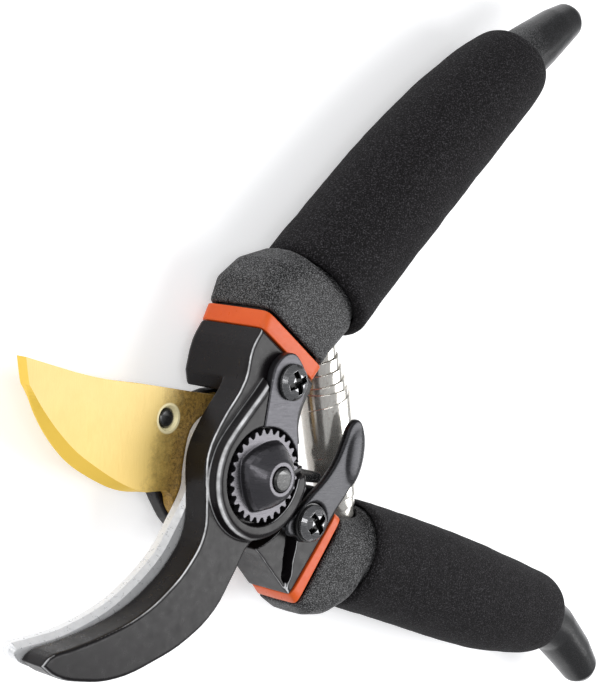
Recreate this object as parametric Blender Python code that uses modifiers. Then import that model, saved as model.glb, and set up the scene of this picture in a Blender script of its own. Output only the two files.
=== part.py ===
"""Bypass pruning shears, lying flat, jaws open.

Frame: the pivot axis is Z and passes through the origin, which is the centre of the
pivot bolt head's flat back face. +X points from the pivot towards the jaw tips, midway
between them with the jaws open. All sizes below are in millimetres.
"""
import bpy
import bmesh
import math
from mathutils import Matrix, Vector

for leftover in list(bpy.data.objects):
    bpy.data.objects.remove(leftover, do_unlink=True)

MM = 0.001

# Driving dimensions, mm. Heights are measured from the plane where blade and anvil meet.
BACK_FACE = -11.8            # flat back of the pivot bolt head
BACK_PLATE = (-7.0, -3.25)   # the blade handle's plate behind the blade
BLADE = (-3.0, -0.15)        # cutting blade
ANVIL = (0.15, 3.0)          # steel anvil plate
FORGING = (3.25, 10.0)       # hook forging in front of the anvil plate
HEAD_BACK = -8.9             # back of the hook handle's thick head
LEVER_HEAD = (-4.2, 8.6)     # the blade handle's thick head
BOSS_TOP = 12.5              # raised boss round the adjusting nut
DISC = (10.6, 12.2)          # toothed flange of the adjusting nut
NUT_TOP = 17.2
BOLT_TOP = 17.8
HANDLE_MID = 1.4             # middle of both handles' thickness

CLEAR = 0.25                 # gap between pieces that sit against each other
BOLT_R = 4.0
RUN = 0.05                   # radial play of a turning fit
HUB_R = 14.0                 # hook forging round the pivot
BOSS_R = 13.4
DISC_R = 9.2
TOOTH = 0.7
TEETH = 28
NUT_CORNER = 7.9             # corners of the nut's square dome
NUT_TURN = 61.5              # way one corner points, degrees
BACK_R = 16.2                # blade handle's plate round the pivot
HEAD_CUT_R = 16.8            # inner wall of the blade handle's thick head
BLADE_HUB_R = 15.6

LOCK_SCREW = (-6.8, -19.2)
LEVER_PIVOT = (-15.2, 11.7)
BLADE_SCREW = (16.3, -11.6)
LEVER_Z = (8.85, 11.1)       # the lock lever's eye and catch
ARM_Z = (10.4, 12.4)         # its arm, cranked forwards
LEVER_EYE_R = 4.5

BAND_THICK = 1.2

COL = bpy.data.collections.new("pruning_shears")
bpy.context.scene.collection.children.link(COL)
CUT = bpy.data.collections.new("cutters")
bpy.context.scene.collection.children.link(CUT)


def material(name, color, metallic, roughness):
    """One Principled material."""
    mat = bpy.data.materials.new(name)
    mat.use_nodes = True
    shader = mat.node_tree.nodes["Principled BSDF"]
    shader.inputs["Base Color"].default_value = (*color, 1.0)
    shader.inputs["Metallic"].default_value = metallic
    shader.inputs["Roughness"].default_value = roughness
    mat.diffuse_color = (*color, 1.0)
    return mat


def height(z):
    """World height in metres of a layer height in mm."""
    return (z - BACK_FACE) * MM


def new_object(name, mesh, mat=None, cutter=False):
    """Link a mesh as a visible piece or as a hidden cutter."""
    mesh.name = name
    obj = bpy.data.objects.new(name, mesh)
    (CUT if cutter else COL).objects.link(obj)
    if cutter:
        obj.hide_render = True
        obj.display_type = "WIRE"
    if mat is not None:
        obj.data.materials.clear()
        obj.data.materials.append(mat)
    return obj


def close_mesh(mesh):
    """Merge the caps to the walls and point every face outwards."""
    bm = bmesh.new()
    bm.from_mesh(mesh)
    bmesh.ops.remove_doubles(bm, verts=bm.verts, dist=1e-6)
    bmesh.ops.recalc_face_normals(bm, faces=bm.faces)
    bm.to_mesh(mesh)
    bm.free()


def prism(name, points, z0, z1, mat=None, cutter=False, res=6, sharp=(), edge=0.0):
    """Plate between two heights from a 2D curve; corners listed in sharp stay sharp.

    edge is the width of the rounding along both rims.
    """
    curve = bpy.data.curves.new(name + "_outline", "CURVE")
    curve.dimensions = "2D"
    curve.fill_mode = "BOTH"
    curve.extrude = ((z1 - z0) / 2 - edge) * MM
    curve.bevel_depth = edge * MM
    curve.bevel_resolution = 1
    curve.offset = -edge * MM
    curve.resolution_u = res
    spline = curve.splines.new("BEZIER")
    spline.bezier_points.add(len(points) - 1)
    spline.use_cyclic_u = True
    for index, (x, y) in enumerate(points):
        point = spline.bezier_points[index]
        point.co = (x * MM, y * MM, 0)
        kind = "VECTOR" if index in sharp else "AUTO"
        point.handle_left_type = kind
        point.handle_right_type = kind
    holder = bpy.data.objects.new(name + "_outline", curve)
    COL.objects.link(holder)
    bpy.context.view_layer.update()
    graph = bpy.context.evaluated_depsgraph_get()
    mesh = bpy.data.meshes.new_from_object(holder.evaluated_get(graph))
    bpy.data.objects.remove(holder, do_unlink=True)
    mesh.transform(Matrix.Translation((0, 0, (height(z0) + height(z1)) / 2)))
    close_mesh(mesh)
    return new_object(name, mesh, mat, cutter)


def cylinder(name, radius, z0, z1, at=(0, 0), mat=None, cutter=False, sides=40, top=None):
    """Straight or tapered round bar along Z."""
    bm = bmesh.new()
    bmesh.ops.create_cone(
        bm,
        cap_ends=True,
        segments=sides,
        radius1=radius * MM,
        radius2=(radius if top is None else top) * MM,
        depth=(z1 - z0) * MM,
    )
    bmesh.ops.translate(bm, verts=bm.verts, vec=(at[0] * MM, at[1] * MM, (height(z0) + height(z1)) / 2))
    mesh = bpy.data.meshes.new(name)
    bm.to_mesh(mesh)
    bm.free()
    return new_object(name, mesh, mat, cutter)


def turned(name, profile, at=(0, 0), mat=None, cutter=False, sides=40):
    """Round piece spun from a profile of (radius, layer height), top to bottom."""
    mesh = bpy.data.meshes.new(name)
    closed = profile[0] == profile[-1]
    verts = [(r * MM, 0, height(z)) for r, z in (profile[:-1] if closed else profile)]
    edges = [(i, i + 1) for i in range(len(verts) - 1)]
    if closed:
        edges.append((len(verts) - 1, 0))
    mesh.from_pydata(verts, edges, [])
    obj = new_object(name, mesh, mat, cutter)
    obj.location = (at[0] * MM, at[1] * MM, 0)
    screw = obj.modifiers.new("spin", "SCREW")
    screw.axis = "Z"
    screw.angle = math.tau
    screw.steps = sides
    screw.render_steps = sides
    screw.use_merge_vertices = True
    screw.merge_threshold = 0.00001
    return obj


def combine(obj, other, operation):
    """Boolean with another piece."""
    mod = obj.modifiers.new(operation.lower() + "_" + other.name, "BOOLEAN")
    mod.operation = operation
    mod.solver = "EXACT"
    mod.object = other
    return obj


def smooth_path(points, per=6, sharp=()):
    """Points along a closed Catmull-Rom loop; listed corners stay sharp."""
    count = len(points)
    path = []
    for i in range(count):
        p0 = Vector(points[(i - 1) % count])
        p1 = Vector(points[i])
        p2 = Vector(points[(i + 1) % count])
        p3 = Vector(points[(i + 2) % count])
        m1 = (p2 - p1) if i in sharp else (p2 - p0) / 2
        m2 = (p2 - p1) if (i + 1) % count in sharp else (p3 - p1) / 2
        for step in range(per):
            t = step / per
            h00 = 2 * t ** 3 - 3 * t ** 2 + 1
            h10 = t ** 3 - 2 * t ** 2 + t
            h01 = -2 * t ** 3 + 3 * t ** 2
            h11 = t ** 3 - t ** 2
            path.append(h00 * p1 + h10 * m1 + h01 * p2 + h11 * m2)
    return path


def face_outwards(bm):
    """Turn every face outwards, judged by the enclosed volume."""
    bmesh.ops.recalc_face_normals(bm, faces=bm.faces)
    if bm.calc_volume(signed=True) < 0:
        bmesh.ops.reverse_faces(bm, faces=bm.faces)


def rings_mesh(name, rings, mat=None, cutter=False):
    """Closed body through a stack of rings; a tube if the last ring meets the first."""
    bm = bmesh.new()
    loops = [[bm.verts.new(p) for p in ring] for ring in rings]
    count = len(loops[0])
    for lower, upper in zip(loops, loops[1:]):
        for i in range(count):
            j = (i + 1) % count
            bm.faces.new((lower[i], lower[j], upper[j], upper[i]))
    bm.faces.new(list(reversed(loops[0])))
    bm.faces.new(loops[-1])
    bm.normal_update()
    bmesh.ops.triangulate(bm, faces=[f for f in bm.faces if len(f.verts) > 4])
    face_outwards(bm)
    mesh = bpy.data.meshes.new(name)
    bm.to_mesh(mesh)
    bm.free()
    return new_object(name, mesh, mat, cutter)


def section(station, grow=0.0, count=28):
    """Rounded-rectangle ring across a handle.

    A station is (outer x, outer y, inner x, inner y, height of the section, squareness,
    layer height of its middle).
    """
    ox, oy, ix, iy, tall, square, middle = station
    centre = Vector(((ox + ix) / 2, (oy + iy) / 2))
    across = Vector((ix - ox, iy - oy))
    half = across.length / 2 + grow
    across.normalize()
    ring = []
    for k in range(count):
        a = math.tau * k / count
        c = math.cos(a)
        s = math.sin(a)
        u = math.copysign(abs(c) ** (2 / square), c) * half
        v = math.copysign(abs(s) ** (2 / square), s) * (tall / 2 + grow)
        p = centre + across * u
        ring.append((p.x * MM, p.y * MM, height(middle + v)))
    return ring


def tube(name, outside, inside, mat):
    """Open-ended sleeve between an outer and an inner row of stations."""
    rings = [section(s) for s in outside] + [section(s) for s in reversed(inside)]
    bm = bmesh.new()
    loops = [[bm.verts.new(p) for p in ring] for ring in rings]
    count = len(loops[0])
    for lower, upper in zip(loops, loops[1:] + loops[:1]):
        for i in range(count):
            j = (i + 1) % count
            bm.faces.new((lower[i], lower[j], upper[j], upper[i]))
    face_outwards(bm)
    mesh = bpy.data.meshes.new(name)
    bm.to_mesh(mesh)
    bm.free()
    return new_object(name, mesh, mat)


def smooth(obj):
    for poly in obj.data.polygons:
        poly.use_smooth = True


def polar(radius, degrees):
    a = math.radians(degrees)
    return (radius * math.cos(a), radius * math.sin(a))


def arc(radius, start, end, count):
    """Points on a circle about the pivot."""
    return [polar(radius, start + (end - start) * k / (count - 1)) for k in range(count)]


BLACK = material("black_paint", (0.02, 0.02, 0.022), 0.3, 0.35)
PLATE = material("black_steel", (0.07, 0.07, 0.075), 0.6, 0.35)
STEEL = material("ground_steel", (0.62, 0.63, 0.64), 0.9, 0.3)
GOLD = material("titanium_gold", (0.85, 0.62, 0.25), 0.9, 0.3)
SCREW = material("dark_screw", (0.05, 0.05, 0.05), 0.8, 0.3)
ORANGE = material("orange_band", (0.9, 0.18, 0.04), 0.0, 0.4)
VINYL = material("textured_vinyl", (0.03, 0.03, 0.032), 0.0, 0.7)
FOAM = material("foam_rubber", (0.015, 0.015, 0.016), 0.0, 0.9)
CHROME = material("chrome", (0.8, 0.8, 0.8), 1.0, 0.15)
RUBBER = material("stop_rubber", (0.02, 0.02, 0.02), 0.0, 0.7)

# Both handles: the centre line of the round part starts here and runs this way.
UPPER_START = Vector((8.3, -9.9))
UPPER_ALONG = Vector(polar(1, 220.1))
UPPER_OUT = Vector(polar(1, 310.1))
LOWER_START = Vector((2.9, 8.5))
LOWER_ALONG = Vector(polar(1, 161.1))
LOWER_OUT = Vector(polar(1, 71.1))


def round_station(start, along, out, distance, diameter, shift=0.0, square=2.0):
    """Round station on a handle's centre line."""
    c = start + along * distance + out * shift
    o = c + out * diameter / 2
    i = c - out * diameter / 2
    return (o.x, o.y, i.x, i.y, diameter, square, HANDLE_MID)


def free_station(cx, cy, degrees, diameter):
    """Round station at a point of a bent tail; degrees is the way its outer side faces."""
    out = Vector(polar(diameter / 2, degrees))
    return (cx + out.x, cy + out.y, cx - out.x, cy - out.y, diameter, 2.0, HANDLE_MID)


def shrink(station, by):
    """The same station with less width and height."""
    ox, oy, ix, iy, tall, square, middle = station
    across = Vector((ix - ox, iy - oy)).normalized() * by
    return (ox + across.x, oy + across.y, ix - across.x, iy - across.y, tall - 2 * by, square, middle)


# Upper handle, from the head to the tail.
UPPER_BAND = [(0.3, -30.6, -16.3, -18.1, 19.0, 12, 0.3), (-1.5, -34.4, -19.2, -21.1, 19.0, 12, 0.3)]
UPPER_NECK = [
    (-1.6, -35.0, -19.5, -21.5, 19.4, 9, 0.3),
    (-2.4, -40.4, -22.4, -23.4, 20.2, 5, 0.5),
    (-6.2, -44.6, -26.4, -25.4, 20.6, 3.2, 0.9),
    (-12.0, -46.4, -30.0, -27.6, 20.8, 2.4, HANDLE_MID),
]


def upper(distance, diameter, shift=0.0):
    return round_station(UPPER_START, UPPER_ALONG, UPPER_OUT, distance, diameter, shift)


UPPER_GRIPPED = [upper(40.4, 20.8), upper(60, 20), upper(90, 19.5), upper(112, 17), upper(124, 14.6, -1.4)]
UPPER_TAIL = [
    free_station(-98.3, -94.7, 302, 12.4),
    free_station(-105.5, -98.8, 298, 10.6),
    free_station(-110.6, -101.4, 297, 8.8),
    free_station(-112.9, -102.5, 297, 5.0),
]
UPPER_FOAM = [
    upper(41.0, 24.4, 0.6),
    upper(43.5, 25.6, 0.8),
    upper(55, 25.8, 0.8),
    upper(78, 26.2, 1.0),
    upper(97, 25.0, 0.6),
    upper(113, 23.0, -0.4),
    upper(123, 20.8, -1.4),
    upper(127.5, 18.0, -1.8),
]

# Lower handle.
LOWER_BAND = [(-13.5, 27.9, -27.0, 11.4, 12.8, 12, 2.2), (-15.7, 30.5, -29.0, 12.8, 12.8, 12, 2.2)]
LOWER_NECK = [
    (-16.0, 31.0, -29.3, 13.2, 13.4, 9, 2.2),
    (-19.6, 33.8, -32.6, 13.6, 15.8, 4.6, 2.0),
    (-25.2, 34.9, -35.4, 13.6, 18.6, 3, 1.6),
    (-30.6, 33.8, -37.8, 13.4, 20.2, 2.4, HANDLE_MID),
]


def lower(distance, diameter, shift=0.0):
    return round_station(LOWER_START, LOWER_ALONG, LOWER_OUT, distance, diameter, shift)


LOWER_GRIPPED = [lower(41.0, 20.8), lower(60, 20), lower(90, 19.5), lower(110, 17), lower(120, 14.6)]
LOWER_TAIL = [
    free_station(-121.0, 53.4, 59, 12.8),
    free_station(-129.3, 60.8, 48, 11.4),
    free_station(-134.4, 66.2, 44, 9.8),
    free_station(-136.3, 68.2, 43, 6.0),
]
LOWER_FOAM = [
    lower(41.5, 23.6, 0.4),
    lower(44.0, 24.6, 0.4),
    lower(55, 25.0, 0.4),
    lower(78, 25.4, 0.6),
    lower(97, 24.8, 1.0),
    lower(111, 22.8, 0.8),
    lower(119, 20.8, 0.4),
    lower(123, 18.2, 0.2),
]


def handle_pieces(side, band, neck, gripped, tail, foam, core):
    """Orange band, textured sleeve and foam grip on one handle's tang."""
    near, far = band
    start = tuple(n + (f - n) * 0.06 for n, f in zip(near, far))
    stop = tuple(n + (f - n) * 0.94 for n, f in zip(near, far))
    inner_cut = BAND_THICK + CLEAR
    tube(side + "_band", [start, stop], [shrink(start, BAND_THICK), shrink(stop, BAND_THICK)], ORANGE)
    tang = [shrink(near, inner_cut), shrink(far, inner_cut)]
    tang += [shrink(s, 2.4) for s in neck[1:3]]
    tang += [shrink(s, 4.6) for s in gripped[:-1]]
    sleeve_rings = [section(s) for s in neck + gripped + tail]
    hollow = [shrink(neck[0], 1.0)] + [shrink(s, 2.4 - CLEAR) for s in neck[1:3]]
    hollow += [shrink(s, 4.6 - CLEAR) for s in gripped[:-1]]
    closing = shrink(gripped[-1], 5.2)
    hollow_rings = [section(s) for s in hollow + [closing]]
    bm = bmesh.new()
    outer = [[bm.verts.new(p) for p in ring] for ring in sleeve_rings]
    inner = [[bm.verts.new(p) for p in ring] for ring in hollow_rings]
    chain = list(reversed(outer)) + inner
    count = len(outer[0])
    for a, b in zip(chain, chain[1:]):
        for i in range(count):
            j = (i + 1) % count
            bm.faces.new((a[i], a[j], b[j], b[i]))
    bm.faces.new(chain[0])
    bm.faces.new(chain[-1])
    bm.normal_update()
    bmesh.ops.triangulate(bm, faces=[f for f in bm.faces if len(f.verts) > 4])
    face_outwards(bm)
    mesh = bpy.data.meshes.new(side + "_sleeve")
    bm.to_mesh(mesh)
    bm.free()
    sleeve = new_object(side + "_sleeve", mesh, VINYL)
    smooth(sleeve)
    smooth(tube(side + "_grip", foam, core, FOAM))
    return tang


UPPER_CORE = [
    upper(41.3, 21.6),
    upper(60, 20.6),
    upper(90, 20.1),
    upper(112, 17.6),
    upper(124, 15.2, -1.4),
    upper(127.3, 15.0, -1.8),
]
LOWER_CORE = [
    lower(41.8, 21.6),
    lower(60, 20.6),
    lower(90, 20.1),
    lower(110, 17.6),
    lower(120, 15.2),
    lower(122.8, 15.0, 0.2),
]
UPPER_TANG = handle_pieces(
    "upper", UPPER_BAND, UPPER_NECK, UPPER_GRIPPED, UPPER_TAIL, UPPER_FOAM, UPPER_CORE
)
LOWER_TANG = handle_pieces(
    "lower", LOWER_BAND, LOWER_NECK, LOWER_GRIPPED, LOWER_TAIL, LOWER_FOAM, LOWER_CORE
)


def levels(name, layers, mat=None, cutter=False):
    """Plate with shaped sides: matching outlines at rising heights."""
    rings = [[(p[0] * MM, p[1] * MM, height(z)) for p in path] for z, path in layers]
    return rings_mesh(name, rings, mat, cutter)


def offset(path, by):
    """Outline moved outwards by a distance."""
    count = len(path)
    moved = []
    for i, p in enumerate(path):
        t = (path[(i + 1) % count] - path[i - 1]).normalized()
        moved.append(p + Vector((t.y, -t.x)) * by)
    return moved


def ground(path, start, end, depth):
    """Outline with the run of points between start and end ground back by depth."""
    count = len(path)
    done = []
    for i, p in enumerate(path):
        if start <= i <= end:
            t = (path[(i + 1) % count] - path[i - 1]).normalized()
            ease = min(1.0, (i - start) / 5, (end - i) / 5)
            done.append(p + Vector((-t.y, t.x)) * depth * ease)
        else:
            done.append(p)
    return done


def bevel(path, start, end, depth):
    """Outline ground back in a long crescent that tapers to nothing at both ends."""
    moved = offset(path, -depth)
    done = list(path)
    for i in range(start, end + 1):
        share = math.sin(math.pi * (i - start) / (end - start)) ** 0.8
        done[i] = path[i].lerp(moved[i], share)
    return done


# Hook handle: plate with the hook, thick head, rim round the nut and the tang.
JAW = [(14.2, 3.7), (14.5, 10.9), (18.1, 16.6), (24.1, 21.7)]
JAW += [(31.0, 25.4), (40.0, 27.9), (48.0, 29.2), (53.8, 30.0)]
BACK_OF_HOOK = [(52.4, 34.1), (45.7, 36.3), (36.7, 37.3), (26.8, 35.5)]
BACK_OF_HOOK += [(17.6, 32.3), (10.3, 27.4), (5.0, 20.2)]
FRONT_OUTLINE = (
    [(0.2, -30.4), (2.9, -26.5), (4.6, -20.1), (10.9, -11.8), (14.2, -5.8), (14.6, -1.3)]
    + JAW
    + [(55.7, 31.5)]
    + BACK_OF_HOOK
    + [(0.8, 14.6), (-4.6, 13.2)]
    + arc(HUB_R, 128, 205, 6)
    + [(-12.4, -10.4), (-16.1, -18.0)]
)
TIP_AND_ENDS = (0, 14, len(FRONT_OUTLINE) - 1)
hook = prism("hook_handle", FRONT_OUTLINE, *FORGING, mat=BLACK, res=4, sharp=TIP_AND_ENDS, edge=0.6)
BOSS_LOOP = arc(BOSS_R, -46, 168, 15) + [(-12.0, -1.0), (-10.6, -8.0), (-10.4, -15.0), (-11.2, -19.5)]
BOSS_LOOP += [(-9.6, -22.2), (-5.6, -23.0), (-2.2, -21.2), (1.7, -17.2), (6.2, -12.8)]
BOSS_PATH = smooth_path(BOSS_LOOP, 4)
LOCK_ROOM = [polar(14.5, 178), (-12.0, -7.2), (-12.0, -12.0), (-13.0, -19.2), (-11.0, -24.4)]
LOCK_ROOM += [(-6.8, -26.6), (-2.0, -24.2), (-0.35, -19.0), (0.5, -14.3), polar(10.0, 277), (-6, 1.5)]
LEVER_TURN = math.degrees(math.atan2(LEVER_PIVOT[1], LEVER_PIVOT[0]))
HEAD_OUTLINE = (
    [(0.15, -30.55), (2.85, -26.5), (4.55, -20.1)]
    + [polar(17.3, 283), polar(17.1, 270), polar(17.1, 256), polar(17.6, 238)]
    + [(-16.25, -18.05)]
)
head = prism(
    "hook_head",
    HEAD_OUTLINE,
    HEAD_BACK,
    FORGING[1] - 0.02,
    cutter=True,
    res=3,
    sharp=(0, 2, 3, 6, 7),
    edge=1.1,
)
combine(hook, head, "UNION")
boss = levels(
    "nut_boss",
    [
        (FORGING[1] - 0.3, offset(BOSS_PATH, 0.5)),
        (FORGING[1] + 0.2, offset(BOSS_PATH, 0.5)),
        (BOSS_TOP - 1.0, offset(BOSS_PATH, 0.15)),
        (BOSS_TOP - 0.35, offset(BOSS_PATH, -0.3)),
        (BOSS_TOP, offset(BOSS_PATH, -1.1)),
    ],
    cutter=True,
)
for tag, radius, x in (("wide", 10.5, 0.5), ("close", 10.25, 0.0)):
    pocket = cylinder("disc_pocket_" + tag, radius, FORGING[1] + 0.06, 20, at=(x, 0), cutter=True, sides=60)
    combine(boss, pocket, "DIFFERENCE")
plate_room = prism("plate_room", LOCK_ROOM, FORGING[1] + 0.05, 20, cutter=True, res=3, sharp=(0, 9))
combine(boss, plate_room, "DIFFERENCE")
combine(hook, boss, "UNION")
tang_rings = [section(s) for s in [shrink(UPPER_BAND[0], 2.0)] + UPPER_TANG]
tang = rings_mesh("upper_tang", tang_rings, cutter=True)
for vertex in tang.data.vertices[:28]:
    vertex.co += Vector((*polar(3.0 * MM, 50), 0))
combine(hook, tang, "UNION")

bolt_bore = cylinder("bolt_bore", BOLT_R + RUN, BACK_FACE - 2, BOSS_TOP + 6, cutter=True, sides=48)
combine(hook, bolt_bore, "DIFFERENCE")
lock_screw_hole = cylinder("lock_screw_hole", 2.0, 4.6, 14, at=LOCK_SCREW, cutter=True, sides=24)
combine(hook, lock_screw_hole, "DIFFERENCE")
# Clearance and notch in the hub's edge for the lock lever's catch.
for tag, turn, wide in (("clear", LEVER_TURN, 9.0), ("notch", LEVER_TURN + 50, 5.0)):
    c = Vector(polar(1, turn))
    n = Vector((-c.y, c.x))
    near = c * 12.0
    far = c * 16
    pts = [near + n * wide / 2, near - n * wide / 2, far - n * wide / 2, far + n * wide / 2]
    slot = prism(
        "hub_" + tag,
        [tuple(p) for p in pts],
        LEVER_Z[0] - 0.35,
        LEVER_Z[1] + 0.3,
        cutter=True,
        res=1,
        sharp=range(4),
    )
    combine(hook, slot, "DIFFERENCE")
smooth(hook)


# Anvil plate behind the hook.
ANVIL_IN = [(12.6, 3.4), (16.5, 9.7), (20.5, 15.2), (26.6, 20.2), (34.3, 24.5), (44.2, 27.4), (51.0, 28.1)]
ANVIL_LOOP = (
    [(12.0, -1.5)]
    + ANVIL_IN
    + [(56.8, 28.4), (57.3, 30.6), (53.2, 33.4), (45.6, 35.9), (36.7, 36.8), (27.0, 35.0)]
    + [(18.0, 31.8), (10.8, 26.9), (5.4, 19.6), (1.2, 14.0), (-4.6, 12.7)]
    + arc(HUB_R - 0.5, 128, 320, 9)
)
anvil_path = smooth_path(ANVIL_LOOP, 4, sharp=(8,))
anvil = levels(
    "anvil_plate",
    [
        (ANVIL[0], anvil_path),
        (1.9, anvil_path),
        (ANVIL[1], ground(anvil_path, 2, 38, 1.1)),
    ],
    STEEL,
)
combine(anvil, bolt_bore, "DIFFERENCE")

# Lock plate holding the nut's teeth.
LOCK_OUTLINE = (
    [polar(10.35, 183), (-9.6, -7.2), (-9.4, -12.0), (-10.8, -15.6), (-11.5, -19.2), (-9.6, -23.2)]
    + [(-6.8, -25.3), (-2.5, -23.5), (-0.8, -19.0), (0.0, -14.5), polar(10.35, 274)]
)
lock_plate = prism("lock_plate", LOCK_OUTLINE, 10.25, 12.3, PLATE, res=4, sharp=(0, 10), edge=0.3)
disc_space = cylinder("disc_space", DISC_R + TOOTH + 0.35, 9, 14, cutter=True, sides=56)
combine(lock_plate, disc_space, "DIFFERENCE")
plate_hole = cylinder("plate_hole", 2.15, 9, 14, at=LOCK_SCREW, cutter=True, sides=24)
combine(lock_plate, plate_hole, "DIFFERENCE")


def cross_recess(name, at, z, size, depth, turn):
    """Phillips recess cutter."""
    cutter = None
    for k in range(2):
        a = math.radians(turn + 90 * k)
        c = Vector((math.cos(a), math.sin(a)))
        n = Vector((-c.y, c.x))
        pts = []
        for along, across in ((1, 0.27), (-1, 0.27), (-1, -0.27), (1, -0.27)):
            p = Vector(at) + c * along * size + n * across * size
            pts.append(tuple(p))
        low = z - depth + 0.05 * k
        high = z + 2 + 0.1 * k
        bar = prism(name + "_" + str(k), pts, low, high, cutter=True, res=1, sharp=range(4))
        if cutter is None:
            cutter = bar
        else:
            combine(cutter, bar, "UNION")
    return cutter


def pan_screw(name, at, seat, radius, shank, bottom, tall, turn, mat):
    """Pan-head cross-recess screw, built about its own axis."""
    screw = turned(
        name,
        [
            (0, seat + tall),
            (radius * 0.45, seat + tall * 0.94),
            (radius * 0.8, seat + tall * 0.7),
            (radius, seat + tall * 0.3),
            (radius, seat),
            (shank, seat),
            (shank, bottom),
            (0, bottom),
        ],
        at,
        mat,
        sides=28,
    )
    recess = cross_recess(name + "_recess", at, seat + tall, radius * 0.66, tall * 0.6, turn)
    combine(screw, recess, "DIFFERENCE")
    smooth(screw)
    return screw


pan_screw("lock_plate_screw", LOCK_SCREW, 12.5, 3.9, 1.8, 5.0, 2.1, 20, SCREW)

# Adjusting nut: toothed flange, square dome with bulging faces, open top round the bolt end.
gear = []
for k in range(TEETH * 4):
    r = DISC_R + (TOOTH if k % 4 in (1, 2) else -0.35)
    gear.append(polar(r, 360 * k / (TEETH * 4)))
nut = prism("adjusting_nut", gear, *DISC, mat=PLATE, res=1, sharp=range(len(gear)))
dome_rings = []
for z, corner, bulge in (
    (DISC[1] - 0.5, NUT_CORNER, 1.4),
    (DISC[1] + 0.3, NUT_CORNER, 1.4),
    (13.2, 7.75, 1.42),
    (14.2, 7.2, 1.5),
    (15.2, 6.3, 1.65),
    (16.1, 5.2, 1.85),
    (16.8, 4.3, 2.0),
    (NUT_TOP, 3.6, 2.0),
):
    ring = []
    for k in range(32):
        a = math.tau * k / 32
        u = math.copysign(abs(math.cos(a)) ** (2 / bulge), math.cos(a)) * corner
        v = math.copysign(abs(math.sin(a)) ** (2 / bulge), math.sin(a)) * corner
        p = Vector(polar(u, NUT_TURN)) + Vector(polar(v, NUT_TURN + 90))
        ring.append((p.x * MM, p.y * MM, height(z)))
    dome_rings.append(ring)
dome = rings_mesh("nut_dome", dome_rings, cutter=True)
combine(nut, dome, "UNION")
nut_bore = turned(
    "nut_bore",
    [(0, 19), (2.7, 19), (2.7, 13.2), (BOLT_R + RUN, 12.6), (BOLT_R + RUN, 8), (0, 8)],
    cutter=True,
    sides=30,
)
combine(nut, nut_bore, "DIFFERENCE")

# Pivot bolt: flat head behind, stepped shank up through everything.
bolt = turned(
    "pivot_bolt",
    [
        (0, BOLT_TOP),
        (2.1, BOLT_TOP),
        (2.5, BOLT_TOP - 0.4),
        (2.5, 12.9),
        (3.2, 12.3),
        (BOLT_R, 12.3),
        (BOLT_R, BACK_PLATE[0] - CLEAR),
        (7.2, BACK_PLATE[0] - CLEAR),
        (7.6, BACK_PLATE[0] - CLEAR - 0.5),
        (7.6, BACK_FACE + 0.8),
        (6.8, BACK_FACE),
        (0, BACK_FACE),
    ],
    mat=SCREW,
    sides=40,
)
smooth(bolt)

# Blade handle: plate behind the blade, thick head round the hub, tang.
PLATE_CORNER = [(11.4, -13.2), (15.8, -13.5), (19.6, -12.4), (21.0, -9.4)]
PLATE_CORNER += [(20.0, -4.6), (17.8, 0.6), (16.4, 4.0)]
plate_outline = arc(BACK_R, 27, 298, 14) + PLATE_CORNER
blade_handle = prism("blade_handle", plate_outline, *BACK_PLATE, mat=BLACK, res=3, edge=0.4)
LEVER_HEAD_OUTLINE = [polar(HEAD_CUT_R, 99), (-4.4, 18.2), (-13.3, 27.9), (-26.9, 11.5), (-23.0, 6.0)]
LEVER_HEAD_OUTLINE += [polar(HEAD_CUT_R + 0.6, 165)] + arc(HEAD_CUT_R, 160, 104, 6)
lever_head = prism(
    "lever_head",
    LEVER_HEAD_OUTLINE,
    LEVER_HEAD[0] + 0.02,
    LEVER_HEAD[1],
    cutter=True,
    res=3,
    sharp=(0, 1, 2, 3, 5),
    edge=0.6,
)
# Groove along the front face, and the lower facet beyond it.
GROOVE = [(-14.2, 11.0), (-14.7, 16.4), (-13.7, 20.7), (-12.8, 24.9)]
GROOVE += [(-11.9, 25.1), (-11.4, 21.2), (-11.8, 16.9), (-11.9, 11.0)]
FACET = [(-12.6, 10.0), (-12.6, 25.0), (-11.0, 31.0), (0, 31.0), (0, 10.0)]
groove = prism("head_groove", GROOVE, 5.2, 14, cutter=True, res=3, sharp=(0, 7))
facet = prism("head_facet", FACET, 7.9, 14, cutter=True, res=1, sharp=range(5))
combine(lever_head, groove, "DIFFERENCE")
combine(lever_head, facet, "DIFFERENCE")
web = prism(
    "head_web",
    [polar(14.0, 102), polar(19.0, 104), (-12.5, 25.0), (-24.0, 12.0), polar(19.0, 162), polar(14.0, 160)],
    BACK_PLATE[0] + 1.6,
    BACK_PLATE[1] - 0.05,
    cutter=True,
    res=1,
    sharp=range(6),
)
combine(blade_handle, web, "UNION")
combine(blade_handle, lever_head, "UNION")
tang_rings = [section(s) for s in [shrink(LOWER_BAND[0], 2.0)] + LOWER_TANG]
tang = rings_mesh("lower_tang", tang_rings, cutter=True)
for vertex in tang.data.vertices[:28]:
    vertex.co += Vector((*polar(3.0 * MM, -41), 0))
combine(blade_handle, tang, "UNION")
combine(blade_handle, bolt_bore, "DIFFERENCE")
blade_screw_hole = cylinder("blade_screw_hole", 2.05, -8, 1, at=BLADE_SCREW, cutter=True, sides=28)
combine(blade_handle, blade_screw_hole, "DIFFERENCE")
lever_screw_hole = cylinder("lever_screw_hole", 2.3, 1.6, 14, at=LEVER_PIVOT, cutter=True, sides=24)
combine(blade_handle, lever_screw_hole, "DIFFERENCE")
smooth(blade_handle)

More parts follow.
